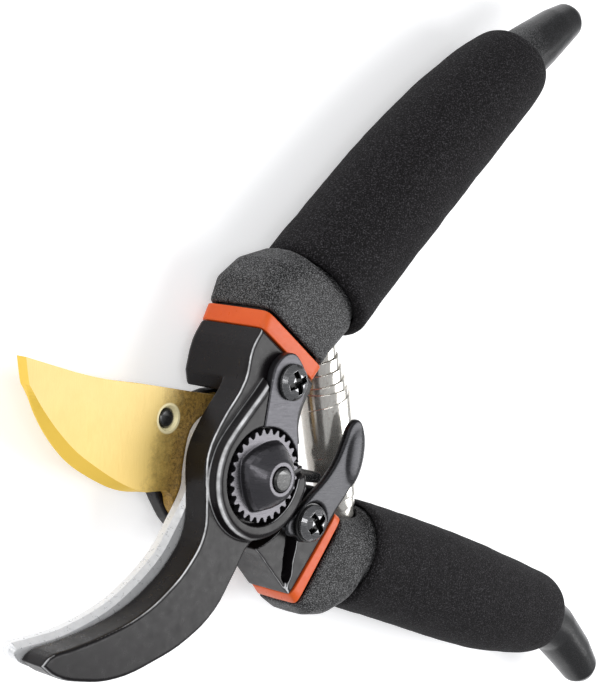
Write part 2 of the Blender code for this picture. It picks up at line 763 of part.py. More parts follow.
# Cutting blade, ground along the curved edge on both sides.
EDGE = [(53.8, -26.3), (52.7, -20.8), (50.7, -15.6), (47.1, -10.1), (42.3, -5.1)]
EDGE += [(37.0, -1.6), (30.2, 1.7), (24.6, 3.0), (16.9, 3.4)]
SPINE = [(3.6, -15.6), (13.8, -17.4), (22.2, -18.9), (31.1, -20.3), (39.7, -22.2), (47.4, -24.4)]
BLADE_LOOP = EDGE + [(14.7, 4.5)] + arc(BLADE_HUB_R, 30, 270, 11) + SPINE
blade_path = smooth_path(BLADE_LOOP, 5, sharp=(0, 8))
last = 8 * 5
blade = levels(
    "cutting_blade",
    [
        (BLADE[0], bevel(blade_path, 5, last - 3, 2.3)),
        (-1.7, blade_path),
        (-1.3, blade_path),
        (BLADE[1], bevel(blade_path, 5, last - 3, 2.5)),
    ],
    GOLD,
)
combine(blade, bolt_bore, "DIFFERENCE")
sink = turned(
    "blade_hole",
    [(0, 0.5), (3.2, 0.5), (2.15, -0.9), (2.15, -4), (0, -4)],
    BLADE_SCREW,
    cutter=True,
    sides=28,
)
combine(blade, sink, "DIFFERENCE")
turned(
    "blade_screw",
    [(0, -0.5), (1.6, -0.5), (1.9, -0.8), (1.9, -7.2), (4.2, -7.2), (4.2, -8.2), (3.4, -9.0), (0, -9.0)],
    BLADE_SCREW,
    SCREW,
    sides=28,
)

# Rubber stop between the heads, on the blade handle.
stop = prism(
    "stop_bumper",
    [polar(23.2, 168.4), polar(17.6, 167.6), polar(17.2, 170.3), polar(20.0, 173.8), polar(22.8, 173.6)],
    -4.5,
    7.5,
    RUBBER,
    res=4,
    sharp=(0, 1),
    edge=0.4,
)

# Spring: two coiled strips, small ends outwards, meeting in a plain middle band.
SPRING_TOP = Vector((-25.4, -28.2))
SPRING_FOOT = Vector((-36.2, 17.2))
SPRING_TURNS = 6.0
SPRING_SMALL = 2.5
SPRING_BIG = 4.9
STRIP = 0.36
STRIP_TALL = 6.4
BAND_TALL = 11.0


def volute(sign, length):
    """Rings of one coiled strip along the local Z of the spring."""
    steps = int(SPRING_TURNS * 16)
    rings = []
    for k in range(steps + 1):
        t = k / steps
        a = math.tau * SPRING_TURNS * t * sign
        r = SPRING_SMALL + (SPRING_BIG + 0.18 - SPRING_SMALL) * t
        z = sign * (length / 2 - STRIP_TALL / 2 - (length / 2 - STRIP_TALL - 0.4) * t)
        c = math.cos(a)
        s = math.sin(a)
        ring = []
        for dr, dz in ((0, -0.5), (STRIP, -0.5), (STRIP, 0.5), (0, 0.5)):
            ring.append(((r + dr) * c * MM, (r + dr) * s * MM, (z + dz * STRIP_TALL) * MM))
        rings.append(ring)
    return rings


spring_line = SPRING_FOOT - SPRING_TOP
spring_length = spring_line.length
spring_frame = Matrix.Translation(
    ((SPRING_TOP.x + SPRING_FOOT.x) / 2 * MM, (SPRING_TOP.y + SPRING_FOOT.y) / 2 * MM, height(HANDLE_MID))
) @ Vector((spring_line.x, spring_line.y, 0)).to_track_quat("Z", "X").to_matrix().to_4x4()
middle = bpy.data.meshes.new("spring")
half = BAND_TALL / 2
band_out = SPRING_BIG + 0.62
band_in = SPRING_BIG + 0.1
ring_profile = [(band_out, half), (band_out, -half), (band_in, -half), (band_in, half)]
bm = bmesh.new()
loops = []
for k in range(40):
    a = math.tau * (k + 0.37) / 40
    spoke = Vector((math.cos(a), math.sin(a), 0))
    loops.append([bm.verts.new((spoke * r + Vector((0, 0, z))) * MM) for r, z in ring_profile])
for k in range(40):
    a, b = loops[k], loops[(k + 1) % 40]
    for i in range(4):
        j = (i + 1) % 4
        bm.faces.new((a[i], b[i], b[j], a[j]))
bmesh.ops.recalc_face_normals(bm, faces=bm.faces)
bm.to_mesh(middle)
bm.free()
spring = new_object("spring", middle, CHROME)
for tag, sign in (("near", -1), ("far", 1)):
    coil = rings_mesh("spring_coil_" + tag, volute(sign, spring_length), cutter=True)
    coil.matrix_world = spring_frame
    combine(spring, coil, "UNION")
spring.matrix_world = spring_frame


def along_spring(name, end, sign, start, stop, radius, top=None, mat=None, sides=24):
    """Round bar on the spring's line; start and stop are measured from the seat inwards."""
    mesh = bpy.data.meshes.new(name)
    bm = bmesh.new()
    bmesh.ops.create_cone(
        bm,
        cap_ends=True,
        segments=sides,
        radius1=radius * MM,
        radius2=(radius if top is None else top) * MM,
        depth=(stop - start) * MM,
    )
    bm.to_mesh(mesh)
    bm.free()
    inwards = spring_line.normalized() * sign
    middle_point = end + inwards * (start + stop) / 2
    obj = new_object(name, mesh, mat, cutter=mat is None)
    obj.matrix_world = Matrix.Translation(
        (middle_point.x * MM, middle_point.y * MM, height(HANDLE_MID))
    ) @ Vector((inwards.x, inwards.y, 0)).to_track_quat("Z", "X").to_matrix().to_4x4()
    return obj


# Pegs that hold the spring's ends in pockets of the two necks.
for side, end, sign, forging in (
    ("upper", SPRING_TOP, 1, hook),
    ("lower", SPRING_FOOT, -1, blade_handle),
):
    sleeve = bpy.data.objects[side + "_sleeve"]
    along_spring(side + "_spring_peg", end, sign, -5.0, 4.0, 2.1, 1.7, STEEL)
    hole = along_spring(side + "_peg_hole", end, sign, -5.4, 2.0, 2.5)
    pocket = along_spring(side + "_pocket", end, sign, -0.4, 12.0, 4.0)
    for piece in (sleeve, forging):
        combine(piece, hole, "DIFFERENCE")
        combine(piece, pocket, "DIFFERENCE")

# Lock lever with its catch, turning on the lever screw.
px, py = LEVER_PIVOT
CATCH_TURN = 8.0             # way the catch points in the rest pose, degrees


def about_lever(radius, degrees):
    """Point at a radius and angle about the lever's pivot."""
    x, y = polar(radius, degrees)
    return (px + x, py + y)


CATCH = [(4.3, 34), (5.8, 19), (6.5, 10), (6.6, 0), (6.5, -10), (5.8, -19), (4.3, -34)]
EYE_LOOP = [about_lever(LEVER_EYE_R, a) for a in (60, 90, 120, 150, 180, 210, 240, 270, 300)]
EYE_LOOP += [about_lever(r, CATCH_TURN + a) for r, a in reversed(CATCH)]
lever = prism("lock_lever", EYE_LOOP, *LEVER_Z, mat=PLATE, res=3, edge=0.3)
ARM_LOOP = [
    about_lever(3.9, 60),
    about_lever(4.3, -10),
    (-13.6, 6.6),
    (-18.9, 2.6),
    (-22.5, -1.4),
    (-24.5, -5.2),
    (-26.3, -8.6),
    (-28.6, -9.7),
    (-30.7, -7.2),
    (-31.0, -1.6),
    (-29.1, 3.0),
    (-26.3, 6.4),
    (-22.8, 9.9),
    about_lever(4.4, 150),
]
arm = prism("lever_arm", ARM_LOOP, *ARM_Z, cutter=True, res=3, edge=0.5)
seat_low = LEVER_Z[1] + 0.05
arm_seat = cylinder("lever_seat", 4.45, seat_low, ARM_Z[1] + 1, at=LEVER_PIVOT, cutter=True, sides=32)
combine(arm, arm_seat, "DIFFERENCE")
combine(lever, arm, "UNION")
thumb = bpy.data.meshes.new("thumb_pad")
bm = bmesh.new()
bmesh.ops.create_uvsphere(bm, u_segments=20, v_segments=10, radius=1.0)
bm.to_mesh(thumb)
bm.free()
thumb_pad = new_object("thumb_pad", thumb, cutter=True)
thumb_pad.matrix_world = (
    Matrix.Translation((-27.8 * MM, -1.7 * MM, height(ARM_Z[1] - 0.8)))
    @ Matrix.Rotation(math.radians(-10), 4, "Z")
    @ Matrix.Diagonal((3.4 * MM, 7.4 * MM, 1.6 * MM, 1.0))
)
combine(lever, thumb_pad, "UNION")
lever_hole = cylinder("lever_hole", 2.1 + RUN, 8, 14, at=LEVER_PIVOT, cutter=True, sides=32)
combine(lever, lever_hole, "DIFFERENCE")
smooth(lever)

turned(
    "lever_washer",
    [(4.3, 11.85), (4.3, 11.3), (2.25, 11.3), (2.25, 11.85), (4.3, 11.85)],
    LEVER_PIVOT,
    SCREW,
    sides=32,
)
pan_screw("lever_screw", LEVER_PIVOT, 12.0, 4.0, 2.1, 2.0, 2.3, 35, SCREW)

# The lever's origin sits on its own pivot.
shift = Matrix.Translation((px * MM, py * MM, 0))
lever.data.transform(shift.inverted())
lever.matrix_world = shift
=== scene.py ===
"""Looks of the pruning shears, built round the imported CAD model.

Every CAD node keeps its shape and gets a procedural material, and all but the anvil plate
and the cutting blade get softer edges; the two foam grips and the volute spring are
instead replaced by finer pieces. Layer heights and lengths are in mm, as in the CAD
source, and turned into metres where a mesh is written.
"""
import math

import bpy
from mathutils import Matrix, Vector
from mathutils import noise as fractal


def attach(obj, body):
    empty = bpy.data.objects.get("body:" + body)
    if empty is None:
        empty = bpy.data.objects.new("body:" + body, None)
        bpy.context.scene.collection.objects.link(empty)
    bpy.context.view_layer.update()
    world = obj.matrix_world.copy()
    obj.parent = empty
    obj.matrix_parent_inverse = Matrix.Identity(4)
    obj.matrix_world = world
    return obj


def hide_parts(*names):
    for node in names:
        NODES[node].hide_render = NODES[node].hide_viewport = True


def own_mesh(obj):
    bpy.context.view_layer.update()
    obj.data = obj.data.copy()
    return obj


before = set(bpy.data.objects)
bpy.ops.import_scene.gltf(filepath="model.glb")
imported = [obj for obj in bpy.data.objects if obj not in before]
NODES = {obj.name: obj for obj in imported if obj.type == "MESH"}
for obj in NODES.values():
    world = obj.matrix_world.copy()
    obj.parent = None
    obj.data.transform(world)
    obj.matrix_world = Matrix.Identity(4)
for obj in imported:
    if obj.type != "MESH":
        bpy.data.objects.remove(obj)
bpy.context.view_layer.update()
MM = 0.001
BACK_FACE = -11.8            # layer height of the frame's origin
HANDLE_MID = 1.4             # layer height of the middle of both handles
LOCK_SCREW = (-6.8, -19.2)
LEVER_SCREW = (-15.2, 11.7)
SINK = (16.3, -11.6)         # countersink of the blade screw
SINK_FACE = -0.4             # layer height just under the blade's face
FORGING_TOP = 10.0           # layer heights of the crests whose enamel edges are lightened: rub wear and painted highlight
BOSS_TOP = 12.5
LEVER_HEAD_TOP = 8.6


def height(z):
    """World height in metres of a layer height in mm."""
    return (z - BACK_FACE) * MM


# ---------------------------------------------------------------- materials
class Paint:
    """One Principled material with procedural colour, roughness and relief."""

    def __init__(self, name, color, rough, metallic=0.0, **sockets):
        self.mat = bpy.data.materials.new(name)
        self.mat.use_nodes = True
        self.tree = self.mat.node_tree
        self.shader = self.tree.nodes["Principled BSDF"]
        self.shader.inputs["Base Color"].default_value = (*color, 1)
        self.shader.inputs["Roughness"].default_value = rough
        self.shader.inputs["Metallic"].default_value = metallic
        for key, value in sockets.items():
            self.shader.inputs[key.replace("_", " ")].default_value = value
        self.where = self.add("ShaderNodeTexCoord").outputs["Object"]
        self.relief = None

    def add(self, kind, **values):
        node = self.tree.nodes.new(kind)
        for key, value in values.items():
            setattr(node, key, value)
        return node

    def link(self, source, target):
        self.tree.links.new(source, target)

    def split(self, vector):
        """X, Y and Z outputs of a vector socket."""
        node = self.add("ShaderNodeSeparateXYZ")
        self.link(vector, node.inputs[0])
        return node.outputs

    def distance(self, vector, point):
        """Distance in metres from a vector socket to a fixed point."""
        node = self.add("ShaderNodeVectorMath", operation="DISTANCE")
        self.link(vector, node.inputs[0])
        node.inputs[1].default_value = point
        return node.outputs["Value"]

    def normal(self, kind):
        """X, Y and Z of the surface's "Normal" or "True Normal"."""
        return self.split(self.add("ShaderNodeNewGeometry").outputs[kind])

    def stretched(self, scale, turn=(0, 0, 0)):
        """Object coordinates turned and stretched."""
        node = self.add("ShaderNodeMapping")
        node.inputs["Rotation"].default_value = turn
        node.inputs["Scale"].default_value = scale
        self.link(self.where, node.inputs["Vector"])
        return node.outputs["Vector"]

    def noise(self, size_mm, detail=4.0, rough=0.6, at=None):
        node = self.add("ShaderNodeTexNoise")
        node.inputs["Scale"].default_value = 1 / (size_mm * MM)
        node.inputs["Detail"].default_value = detail
        node.inputs["Roughness"].default_value = rough
        self.link(at or self.where, node.inputs["Vector"])
        return node.outputs["Fac"]

    def cells(self, size_mm):
        node = self.add("ShaderNodeTexVoronoi")
        node.inputs["Scale"].default_value = 1 / (size_mm * MM)
        self.link(self.where, node.inputs["Vector"])
        return node.outputs["Distance"]

    def remap(self, source, low, high, out_low=0.0, out_high=1.0):
        node = self.add("ShaderNodeMapRange")
        ends = {"From Min": low, "From Max": high, "To Min": out_low, "To Max": out_high}
        for key, value in ends.items():
            node.inputs[key].default_value = value
        self.link(source, node.inputs["Value"])
        return node.outputs["Result"]

    def maths(self, operation, a, b=None):
        node = self.add("ShaderNodeMath", operation=operation)
        for socket, value in zip(node.inputs, (a, b)):
            if value is None:
                continue
            if isinstance(value, (int, float)):
                socket.default_value = value
            else:
                self.link(value, socket)
        return node.outputs[0]

    def blend(self, factor, a, b):
        """Mix of two colours; each is a colour or a socket."""
        node = self.add("ShaderNodeMix", data_type="RGBA")
        for socket, value in ((node.inputs[0], factor), (node.inputs[6], a), (node.inputs[7], b)):
            if isinstance(value, (int, float)):
                socket.default_value = value
            elif isinstance(value, tuple):
                socket.default_value = (*value, 1)
            else:
                self.link(value, socket)
        return node.outputs[2]

    def bump(self, source, depth_mm, strength=1.0):
        node = self.add("ShaderNodeBump")
        node.inputs["Strength"].default_value = strength
        node.inputs["Distance"].default_value = depth_mm * MM
        self.link(source, node.inputs["Height"])
        if self.relief is not None:
            self.link(self.relief, node.inputs["Normal"])
        self.relief = node.outputs["Normal"]
        self.link(self.relief, self.shader.inputs["Normal"])

    def color(self, source):
        self.link(source, self.shader.inputs["Base Color"])

    def rough(self, source):
        self.link(source, self.shader.inputs["Roughness"])

    def edges(self, low, high):
        """1 on outward edges, 0 on flats."""
        node = self.add("ShaderNodeNewGeometry")
        return self.remap(node.outputs["Pointiness"], low, high)


def black_enamel(name, crests, tone=0.006, rough=0.3):
    """Satin black paint on a forging, lightened on the edges at the given layer heights: partly rub
    wear, partly a painted highlight.
    """
    p = Paint(name, (tone,) * 3, rough, 0.0, Specular_IOR_Level=0.18)
    patch = p.noise(6, 3)
    fine = p.noise(0.45, 3, 0.7)
    facing = p.normal("Normal")
    place = p.split(p.where)
    # Light edge band just under a crest, where the surface leans over its edge and faces the tips,
    # the side the lamps catch: partly rub wear, partly a painted highlight.
    wear_and_highlight = None
    for crest in crests:
        off = p.maths("ABSOLUTE", p.maths("SUBTRACT", place["Z"], height(crest - 0.35)))
        band = p.remap(off, 0.6 * MM, 0.3 * MM)
        wear_and_highlight = band if wear_and_highlight is None else p.maths("MAXIMUM", wear_and_highlight, band)
    tilt = p.maths("ABSOLUTE", p.maths("SUBTRACT", facing["Z"], 0.68))
    wear_and_highlight = p.maths("MULTIPLY", wear_and_highlight, p.remap(tilt, 0.27, 0.12))
    wear_and_highlight = p.maths("MULTIPLY", wear_and_highlight, p.remap(facing["X"], 0.15, 0.45))
    base = p.blend(patch, (tone * 0.6, tone * 0.45, tone * 0.5), (tone * 1.6, tone * 1.3, tone * 1.5))
    base = p.blend(p.maths("MULTIPLY", fine, 0.25), base, (tone * 2.6, tone * 2.5, tone * 2.7))
    broken = p.remap(p.noise(4.0, 3), 0.35, 0.6, 0.5, 1.0)
    # The edge band is coloured light grey as rub wear and painted highlight.
    p.color(p.blend(p.maths("MULTIPLY", wear_and_highlight, broken), base, (0.8, 0.8, 0.81)))
    p.rough(p.remap(p.noise(2.2, 4), 0.3, 0.75, rough - 0.06, rough + 0.1))
    p.bump(p.noise(0.8, 2), 0.003)
    p.bump(p.noise(9, 2), 0.05)
    return p.mat


def plate_steel(name, tone, rough=0.3, metallic=0.85, grain=(400, 6000, 400), turn=0.6,
                speck=0.3, edge_wear_and_highlight=0.7, recess=None, crevice_shade=0.9):
    """Ground or blackened plate with fine grinding lines.

    grain is the lines' scale along X, Y and Z, and turn their angle. speck is the share of
    bright dots, edge_wear_and_highlight of light outward edges (partly rub wear, partly a
    painted highlight) and crevice_shade of painted shade in crevices. recess is the place,
    radius and layer height of a drive recess, darkened with painted shade below that height.
    """
    p = Paint(name, tone, rough, metallic)
    lines = p.noise(1.0, 3, 0.6, p.stretched([g * MM for g in grain], (0, 0, turn)))
    patch = p.noise(5, 3)
    dots = p.remap(p.noise(0.4, 3, 0.7), 0.55, 0.75)
    dark = tuple(c * 0.75 for c in tone)
    light = tuple(min(1, c * 1.22) for c in tone)
    # Outward edges are lightened: partly rub wear, partly a painted highlight.
    wear_and_highlight = p.edges(0.54, 0.62)
    # Painted shade in the inward creases.
    crevice = p.edges(0.47, 0.40)
    base = p.blend(lines, dark, light)
    base = p.blend(p.remap(patch, 0.3, 0.8, 0, 0.5), base, tuple(c * 0.8 for c in tone))
    bright = tuple(min(1, c * 2.2 + 0.05) for c in tone)
    base = p.blend(p.maths("MULTIPLY", dots, speck), base, bright)
    base = p.blend(p.maths("MULTIPLY", wear_and_highlight, edge_wear_and_highlight), base, bright)
    shade = p.maths("MULTIPLY", crevice, crevice_shade)
    # Painted shade on the floor of the drive recess.
    if recess:
        (x, y), radius, level = recess
        flat = p.add("ShaderNodeVectorMath", operation="MULTIPLY")
        p.link(p.where, flat.inputs[0])
        flat.inputs[1].default_value = (1, 1, 0)
        away = p.distance(flat.outputs[0], (x * MM, y * MM, 0))
        inside = p.remap(away, radius * MM, (radius - 0.1) * MM)
        below = p.remap(p.split(p.where)["Z"], height(level + 0.08), height(level - 0.08))
        shade = p.maths("MAXIMUM", shade, p.maths("MULTIPLY", inside, below))
    # Painted shade: the creases and the recess floor go near black.
    p.color(p.blend(shade, base, (0.004, 0.004, 0.004)))
    p.rough(p.remap(lines, 0.3, 0.7, rough - 0.06, rough + 0.12))
    p.bump(lines, 0.003)
    p.bump(p.noise(0.5, 3), 0.004)
    return p.mat


def vinyl(name, tone=0.011, fleck=0.17):
    """Pebbled charcoal dip on the necks, rubbed smooth and glossy on the tails."""
    p = Paint(name, (tone,) * 3, 0.55, 0.0, Specular_IOR_Level=0.25)
    grain = p.noise(0.42, 2, 0.6)
    light = p.remap(p.noise(0.24, 1, 0.5), 0.5, 0.62)
    dark = p.remap(p.cells(0.42), 0.12, 0.4)
    base = p.blend(p.remap(grain, 0.4, 0.6), (tone * 0.15,) * 3, (tone * 2.6, tone * 2.5, tone * 2.6))
    base = p.blend(p.maths("MULTIPLY", dark, 0.45), base, (tone * 0.1,) * 3)
    tail = p.remap(p.split(p.where)["X"], -0.086, -0.096)
    base = p.blend(p.maths("MULTIPLY", light, 0.85), base, (fleck, fleck, fleck * 1.02))
    p.color(p.blend(p.maths("MULTIPLY", tail, 0.85), base, (0.009, 0.0088, 0.0095)))
    p.rough(p.blend(tail, p.remap(grain, 0.3, 0.7, 0.42, 0.7), (0.3, 0.3, 0.3)))
    pebble = p.maths("MULTIPLY", p.cells(0.6), p.remap(tail, 0, 1, 1, 0.2))
    p.bump(pebble, 0.1, 0.9)
    p.bump(p.maths("MULTIPLY", grain, p.remap(tail, 0, 1, 1, 0.15)), 0.1)
    return p.mat


def foam(name):
    """Fine closed-cell foam rubber."""
    p = Paint(name, (0.012, 0.012, 0.013), 0.85, 0.0, Specular_IOR_Level=0.14)
    grain = p.noise(0.4, 3, 0.7)
    light = p.remap(p.noise(0.3, 1, 0.5), 0.54, 0.66)
    patch = p.noise(14, 3)
    base = p.blend(p.remap(grain, 0.38, 0.62), (0.0015, 0.0014, 0.0015), (0.015, 0.0138, 0.015))
    base = p.blend(p.remap(patch, 0.35, 0.7, 0, 0.5), base, (0.0075, 0.0068, 0.0076))
    p.color(p.blend(p.maths("MULTIPLY", light, 0.6), base, (0.075, 0.071, 0.077)))
    p.rough(p.remap(grain, 0.3, 0.7, 0.75, 0.98))
    p.bump(p.cells(0.55), 0.12, 0.9)
    p.bump(grain, 0.1)
    return p.mat


def orange_plastic(name):
    """Moulded band with paler outward edges: partly rub wear, partly a painted highlight."""
    p = Paint(name, (0.74, 0.11, 0.018), 0.36, 0.0, Specular_IOR_Level=0.22)
    patch = p.noise(4, 3)
    wear_and_highlight = p.edges(0.51, 0.6)
    base = p.blend(patch, (0.58, 0.060, 0.006), (0.72, 0.100, 0.012))
    # Outward edges turn paler orange as rub wear and painted highlight.
    p.color(p.blend(p.maths("MULTIPLY", wear_and_highlight, 0.3), base, (0.95, 0.30, 0.10)))
    p.rough(p.remap(p.noise(0.8, 3), 0.3, 0.7, 0.26, 0.42))
    p.bump(p.noise(0.5, 2), 0.008)
    return p.mat


def chrome(name):
    """Bright plating with faint brown blotches."""
    p = Paint(name, (0.74, 0.72, 0.69), 0.13, 0.8, Specular_IOR_Level=0.6)
    lines = p.noise(1.0, 3, 0.6, p.stretched((2.0, 0.25, 2.0)))
    brown_blotch = p.remap(p.noise(1.1, 4, 0.7), 0.56, 0.74)
    base = p.blend(lines, (0.66, 0.63, 0.57), (0.92, 0.90, 0.85))
    p.color(p.blend(p.maths("MULTIPLY", brown_blotch, 0.5), base, (0.34, 0.30, 0.24)))
    p.rough(p.remap(p.noise(1.5, 4), 0.3, 0.7, 0.1, 0.26))
    p.bump(p.noise(1.2, 2), 0.006)
    return p.mat


def gold(name):
    """Titanium-nitride coat over a ground blade, tarnished towards the pivot."""
    p = Paint(name, (0.8, 0.6, 0.25), 0.42, 0.12, Specular_IOR_Level=0.3)
    lines = p.noise(1.0, 4, 0.65, p.stretched((4500 * MM, 350 * MM, 1000 * MM), (0, 0, -0.75)))
    patch = p.noise(9, 3)
    base = p.blend(lines, (0.60, 0.42, 0.12), (0.86, 0.67, 0.27))
    base = p.blend(p.remap(patch, 0.4, 0.8, 0, 0.35), base, (0.64, 0.44, 0.13))
    # The ground bevel leans away from the flat and is coloured a deeper yellow.
    bevel = p.remap(p.maths("ABSOLUTE", p.normal("True Normal")["Z"]), 0.985, 0.93)
    base = p.blend(p.maths("MULTIPLY", bevel, 0.85), base, (0.98, 0.64, 0.07))
    place = p.split(p.where)
    # Painted shade: towards +Y the blade is coloured darker and more orange.
    low = p.maths("ADD", place["Y"], p.maths("MULTIPLY", p.noise(6, 3), 0.01))
    base = p.blend(p.remap(low, -0.014, 0.008, 0, 0.55), base, (0.78, 0.52, 0.10))
    ragged = p.maths("MULTIPLY", p.noise(1.6, 6, 0.8), 0.012)
    rough_edge = p.maths("ADD", place["X"], ragged)
    rough_edge = p.maths("ADD", rough_edge, p.maths("MULTIPLY", place["Y"], -0.22))
    tarnish = p.remap(rough_edge, 0.0285, 0.0205)
    mottle = p.remap(p.noise(0.6, 4, 0.8), 0.35, 0.65)
    dirt = p.blend(mottle, (0.045, 0.020, 0.003), (0.42, 0.24, 0.05))
    # Painted highlight on the rim of the screw's countersink.
    away = p.distance(p.where, (SINK[0] * MM, SINK[1] * MM, height(SINK_FACE)))
    ring = p.remap(away, 3.35 * MM, 3.05 * MM)
    base = p.blend(p.maths("MULTIPLY", tarnish, 0.9), base, dirt)
    p.color(p.blend(ring, base, (0.95, 0.84, 0.5)))
    p.rough(p.remap(lines, 0.3, 0.7, 0.34, 0.5))
    p.bump(lines, 0.008)
    return p.mat


BLACK = black_enamel("hook_enamel", (FORGING_TOP, BOSS_TOP))
BLACK_LOW = black_enamel("lever_enamel", (LEVER_HEAD_TOP,))
LOCK_STEEL = plate_steel("lock_plate_steel_fine", (0.06, 0.059, 0.065), 0.36, speck=0.15)
NUT_STEEL = plate_steel("nut_steel_fine", (0.085, 0.082, 0.09), 0.3, speck=0.04, edge_wear_and_highlight=0.0)
SCREW_STEEL = plate_steel("screw_steel_fine", (0.22, 0.22, 0.225), 0.2, speck=0.15)
LOCK_SCREW_STEEL = plate_steel("lock_screw_fine", (0.2, 0.2, 0.205), 0.2, speck=0.05,
                               edge_wear_and_highlight=0.3, recess=(LOCK_SCREW, 2.75, 14.05))
LEVER_SCREW_STEEL = plate_steel("lever_screw_fine", (0.2, 0.2, 0.205), 0.2, speck=0.05,
                                edge_wear_and_highlight=0.3, recess=(LEVER_SCREW, 2.8, 13.78))
BOLT_STEEL = plate_steel("bolt_steel_fine", (0.05, 0.05, 0.05), 0.34, speck=0.9)
LEVER_STEEL = plate_steel("lever_steel_fine", (0.035, 0.035, 0.038), 0.28, speck=0.05)
ANVIL_STEEL = plate_steel("anvil_steel_fine", (0.93, 0.94, 0.96), 0.3, 0.35, grain=(900, 900, 900),
                          turn=0.9, speck=0.05, edge_wear_and_highlight=0.2, crevice_shade=0.0)
VINYL = vinyl("neck_vinyl")
FOAM = foam("grip_foam")
ORANGE = orange_plastic("band_orange")
CHROME = chrome("spring_chrome_fine")
GOLD = gold("blade_gold")
RUBBER = vinyl("stop_rubber_fine", 0.01)


# ---------------------------------------------------------------- surfaces
def shading_tree(angle):
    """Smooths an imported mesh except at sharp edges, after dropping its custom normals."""
    tree = bpy.data.node_groups.new("even_shading", "GeometryNodeTree")
    tree.interface.new_socket("Geometry", in_out="INPUT", socket_type="NodeSocketGeometry")
    tree.interface.new_socket("Geometry", in_out="OUTPUT", socket_type="NodeSocketGeometry")
    source = tree.nodes.new("NodeGroupInput")
    target = tree.nodes.new("NodeGroupOutput")
    plain = tree.nodes.new("GeometryNodeRemoveAttribute")
    plain.inputs["Name"].default_value = "custom_normal"
    faces = tree.nodes.new("GeometryNodeSetShadeSmooth")
    faces.domain = "FACE"
    turn = tree.nodes.new("GeometryNodeInputMeshEdgeAngle")
    below = tree.nodes.new("FunctionNodeCompare")
    below.operation = "LESS_THAN"
    below.inputs[1].default_value = math.radians(angle)
    edges = tree.nodes.new("GeometryNodeSetShadeSmooth")
    edges.domain = "EDGE"
    link = tree.links.new
    link(source.outputs[0], plain.inputs[0])
    link(plain.outputs[0], faces.inputs["Geometry"])
    link(faces.outputs[0], edges.inputs["Geometry"])
    link(turn.outputs["Unsigned Angle"], below.inputs[0])
    link(below.outputs[0], edges.inputs["Shade Smooth"])
    link(edges.outputs[0], target.inputs[0])
    return tree


SHARP = 32                   # degrees between faces, from which an edge counts as sharp
EVEN = shading_tree(SHARP)
CRISP = shading_tree(5)


def dress(name, mat):
    """CAD node with its material changed."""
    obj = NODES[name]
    obj.data.materials.clear()
    obj.data.materials.append(mat)
    return obj


def welded(obj):
    """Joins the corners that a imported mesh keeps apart."""
    mod = obj.modifiers.new("weld", "WELD")
    mod.merge_threshold = 2e-6


def rounded(name, mat, width=0.15, segments=2, shading=EVEN):
    """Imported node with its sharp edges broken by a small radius."""
    obj = dress(name, mat)
    welded(obj)
    if width:
        mod = obj.modifiers.new("bevel", "BEVEL")
        mod.width = width * MM
        mod.segments = segments
        mod.limit_method = "ANGLE"
        mod.angle_limit = math.radians(SHARP)
        mod.use_clamp_overlap = True
    mod = obj.modifiers.new("shading", "NODES")
    mod.node_group = shading
    return obj


def forged(name, mat, voxel=0.3, passes=6):
    """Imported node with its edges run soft, as paint leaves them."""
    obj = dress(name, mat)
    welded(obj)
    mod = obj.modifiers.new("remesh", "REMESH")
    mod.mode = "VOXEL"
    mod.voxel_size = voxel * MM
    mod.use_smooth_shade = True
    mod = obj.modifiers.new("soften", "SMOOTH")
    mod.factor = 0.5
    mod.iterations = passes
    return obj


forged("hook_handle", BLACK, 0.2, 6)
forged("blade_handle", BLACK_LOW, 0.24, 6)
forged("lock_lever", LEVER_STEEL, 0.18, 50)
forged("lock_plate", LOCK_STEEL, 0.15, 4)
forged("adjusting_nut", NUT_STEEL, 0.12, 4)
forged("upper_sleeve", VINYL, 0.4, 6)
forged("lower_sleeve", VINYL, 0.4, 6)
forged("lock_plate_screw", LOCK_SCREW_STEEL, 0.08, 2)
forged("lever_screw", LEVER_SCREW_STEEL, 0.08, 2)
for node in ("pivot_bolt", "blade_screw", "lever_washer"):
    rounded(node, BOLT_STEEL, 0.1)
rounded("anvil_plate", ANVIL_STEEL, 0.0, shading=CRISP)
rounded("cutting_blade", GOLD, 0.0, shading=CRISP)
for node in ("upper_band", "lower_band"):
    rounded(node, ORANGE, 0.2, 3)
for node in ("upper_spring_peg", "lower_spring_peg"):
    rounded(node, SCREW_STEEL, 0.1)
forged("stop_bumper", RUBBER, 0.2, 5)

# ---------------------------------------------------------------- new pieces
def mixed(a, b, t):
    return tuple(x + (y - x) * t for x, y in zip(a, b))


def dense(rows, per):
    """Catmull-Rom row of values through rows of values."""
    out = []
    for i in range(len(rows) - 1):
        p0, p1, p2 = rows[max(i - 1, 0)], rows[i], rows[i + 1]
        p3 = rows[min(i + 2, len(rows) - 1)]
        for step in range(per):
            t = step / per
            h = (2 * t**3 - 3 * t**2 + 1, t**3 - 2 * t**2 + t, -2 * t**3 + 3 * t**2, t**3 - t**2)
            row = []
            for a, b, c, d in zip(p0, p1, p2, p3):
                row.append(h[0] * b + h[1] * (c - a) / 2 + h[2] * c + h[3] * (d - b) / 2)
            out.append(tuple(row))
    out.append(tuple(rows[-1]))
    return out


def at_distance(rows, distance):
    """Values of a dense row at one distance along a handle."""
    for a, b in zip(rows, rows[1:]):
        if a[0] <= distance <= b[0]:
            return mixed(a, b, (distance - a[0]) / (b[0] - a[0]))
    return rows[0] if distance < rows[0][0] else rows[-1]


def new_piece(name, verts, faces, mat):
    """Smooth-shaded mesh object in the scene."""
    mesh = bpy.data.meshes.new(name)
    mesh.from_pydata(verts, [], faces)
    mesh.materials.append(mat)
    mesh.shade_smooth()
    obj = bpy.data.objects.new(name, mesh)
    bpy.context.scene.collection.objects.link(obj)
    return obj


def ring_body(name, rings, mat):
    """Closed tube through rings, the last one joined to the first."""
    count = len(rings[0])
    verts = [p for ring in rings for p in ring]
    faces = []
    for k in range(len(rings)):
        a = k * count
        b = (k + 1) % len(rings) * count
        for i in range(count):
            j = (i + 1) % count
            faces.append((a + i, a + j, b + j, b + i))
    return new_piece(name, verts, faces, mat)


